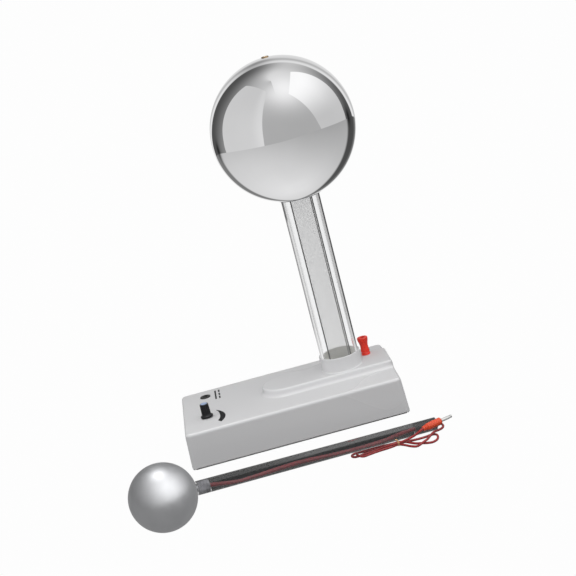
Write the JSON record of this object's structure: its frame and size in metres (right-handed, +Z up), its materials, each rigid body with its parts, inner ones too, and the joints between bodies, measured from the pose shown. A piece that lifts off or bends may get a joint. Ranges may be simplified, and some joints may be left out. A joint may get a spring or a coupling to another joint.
{
  "type": "van de graaff generator",
  "caption": "Tabletop motor-driven electrostatic belt generator: mirror dome on a clear column and white base, with a discharge wand and its plug lead.",
  "frame": {"origin": "centre of the rectangle on which the base stands", "axes": "+Z up the column, +X from the control end to the column end of the base, +Y to the back; the wand lies in front at -Y"},
  "size_m": [0.3647, 0.3532, 0.436],
  "materials": {
    "housing_plastic": "glossy moulded white ABS",
    "cover_plastic": "fine texture",
    "foot_rubber": "matt",
    "screw_steel": "zinc plated",
    "motor_steel": "drawn can",
    "motor_plastic": "moulded",
    "magnet": "ferrite",
    "bracket_steel": "sheet",
    "stand_plastic": "moulded",
    "bronze": "satin",
    "belt_rubber": "smooth pale rubber",
    "board_resin": "solder resist",
    "component_black": "moulded",
    "capacitor_sleeve": "shrink sleeve",
    "pot_metal": "stamped",
    "jack_black": "moulded",
    "contact_metal": "plated",
    "terminal_red": "moulded red",
    "brass_socket": "turned",
    "tinned": "tinned",
    "wire_pair": "insulation",
    "wire_green": "insulation",
    "clear_tube": "clear acrylic",
    "head_plastic": "machined",
    "shaft_steel": "ground",
    "armature": "enamelled copper winding",
    "roller_nylon": "turned nylon",
    "roller_acrylic": "turned acrylic",
    "knob_black": "moulded",
    "knob_blue": "moulded light blue",
    "dome_steel": "mirror polished",
    "collar_aluminium": "turned",
    "ball_steel": "satin polished",
    "stud_steel": "turned",
    "grommet_rubber": "black",
    "lead_red": "soft insulation",
    "tie_copper": "twist tie",
    "plug_red": "moulded red"
  },
  "bodies": {
    "base": {"base_shell": "housing_plastic", "tube_socket": "housing_plastic", "bottom_cover": "cover_plastic", "rubber_feet": "foot_rubber", "cover_screws": "screw_steel", "frame_screws": "screw_steel", "motor_can": "motor_steel", "motor_end_cap": "motor_plastic", "motor_magnets": "magnet", "motor_bracket": "bracket_steel", "bearing_stand": "stand_plastic", "outboard_bush": "bronze", "lower_comb": "bronze", "comb_bracket": "bracket_steel", "drive_belt": "belt_rubber", "control_board": "board_resin", "driver_transistor": "component_black", "board_capacitor": "capacitor_sleeve", "speed_pot": "pot_metal", "pot_nut": "screw_steel", "dc_jack": "jack_black", "dc_jack_nut": "screw_steel", "dc_jack_pin": "contact_metal", "terminal_base": "terminal_red", "terminal_stud": "brass_socket", "terminal_nut": "brass_socket", "solder_tag": "tinned", "motor_leads": "wire_pair", "supply_leads": "wire_pair", "earth_lead": "wire_green", "column_tube": "clear_tube", "head_block": "head_plastic", "contact_ring": "brass_socket", "upper_bushes": "bronze", "upper_comb": "bronze"},
    "drive_roller": {"motor_shaft": "shaft_steel", "motor_armature": "armature", "lower_roller": "roller_nylon"},
    "top_roller": {"upper_axle": "shaft_steel", "upper_roller": "roller_acrylic"},
    "knob": {"speed_knob": "knob_black", "knob_cap": "knob_blue", "pot_shaft": "shaft_steel"},
    "terminal_thread": {"terminal_insert": "brass_socket"},
    "terminal_head": {"terminal_cap": "terminal_red"},
    "dome": {"dome_shell": "dome_steel", "dome_collar": "collar_aluminium", "dome_socket": "brass_socket", "socket_nut": "brass_socket"},
    "wand": {"discharge_ball": "ball_steel", "ball_stud": "stud_steel", "handle_tube": "clear_tube", "handle_grommet": "grommet_rubber", "handle_lead": "lead_red", "lead_out": "lead_red", "lead_hank": "lead_red", "hank_tie": "tie_copper", "lead_in": "lead_red", "plug_sleeve": "plug_red", "plug_pin": "contact_metal"}
  },
  "joints": [
    {"name": "drive_spin", "type": "hinge", "parent": "base", "child": "drive_roller", "pos_m": [0.072, 0, 0.024], "axis": [1, 0, 0], "continuous": true},
    {"name": "top_spin", "type": "hinge", "parent": "base", "child": "top_roller", "pos_m": [0.072, 0, 0.316], "axis": [1, 0, 0], "continuous": true},
    {"name": "knob_turn", "type": "hinge", "parent": "base", "child": "knob", "pos_m": [-0.101, -0.031, 0.05], "axis": [0, 0, 1], "range_deg": [-300, 0]},
    {"name": "thread_rise", "type": "slide", "parent": "base", "child": "terminal_thread", "axis": [0, 0, 1], "range_m": [0, 0.0035]},
    {"name": "cap_turn", "type": "hinge", "parent": "terminal_thread", "child": "terminal_head", "pos_m": [0.105, 0.019, 0.06], "axis": [0, 0, 1], "range_deg": [0, 1440]},
    {"name": "dome_lift", "type": "slide", "parent": "base", "child": "dome", "axis": [0, 0, 1], "range_m": [0, 0.12]},
    {"name": "wand_lift", "type": "slide", "parent": "base", "child": "wand", "axis": [0, 0, 1], "range_m": [0, 0.12]}
  ],
  "couplings": [
    {"joint": "top_spin", "follows": "drive_spin", "ratio": 1.1429},
    {"joint": "cap_turn", "follows": "thread_rise", "rad_per_m": 7180.8}
  ]
}
